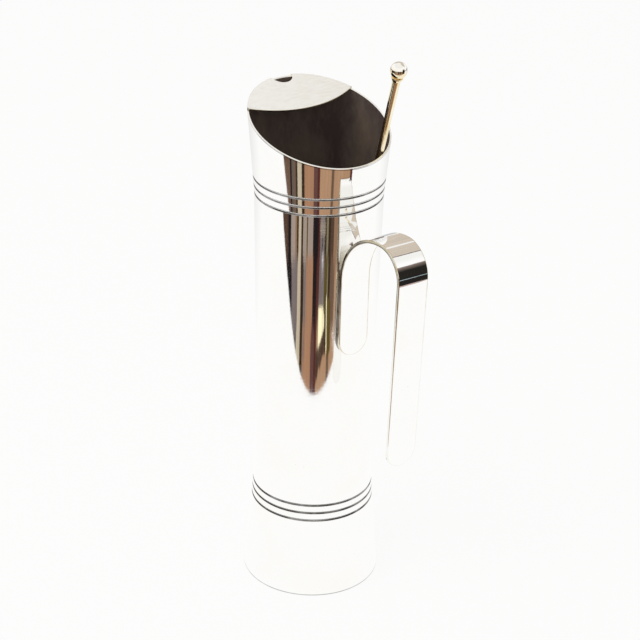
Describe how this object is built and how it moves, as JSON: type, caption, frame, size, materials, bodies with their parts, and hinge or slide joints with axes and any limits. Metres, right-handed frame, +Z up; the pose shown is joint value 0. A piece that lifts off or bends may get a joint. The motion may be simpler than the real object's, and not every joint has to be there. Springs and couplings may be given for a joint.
{
  "type": "cocktail pitcher",
  "caption": "Tall waisted metal pitcher with a slanted mouth, half-moon ice guard with a pouring notch, hooked strap handle and a loose ball-topped stirrer.",
  "frame": {"origin": "centre of the foot's flat resting face", "axes": "+Z up along the tube's axis, +X towards the handle, -X towards the spout"},
  "size_m": [0.1306, 0.0804, 0.3269],
  "materials": {
    "silver_plate": "polished silver plate, dark tarnish inside",
    "base_plate": "worn silver plate",
    "guard": "polished silver plate with brassy edges",
    "handle": "polished silver plate with brassy edges",
    "solder": "dull plated solder",
    "gilt_brass": "polished"
  },
  "bodies": {
    "pitcher": {"body_tube": "silver_plate", "base_disc": "base_plate", "base_solder": "solder", "guard_plate": "guard", "handle_strap": "handle", "handle_solder": "solder"},
    "stirrer": {"stirrer_rod": "gilt_brass", "stirrer_collar": "gilt_brass", "stirrer_ball": "gilt_brass"}
  },
  "joints": [
    {"name": "stirrer_lift", "type": "slide", "parent": "pitcher", "child": "stirrer", "axis": [0.2314, 0.0245, 0.9725], "range_m": [0, 0.286]}
  ]
}
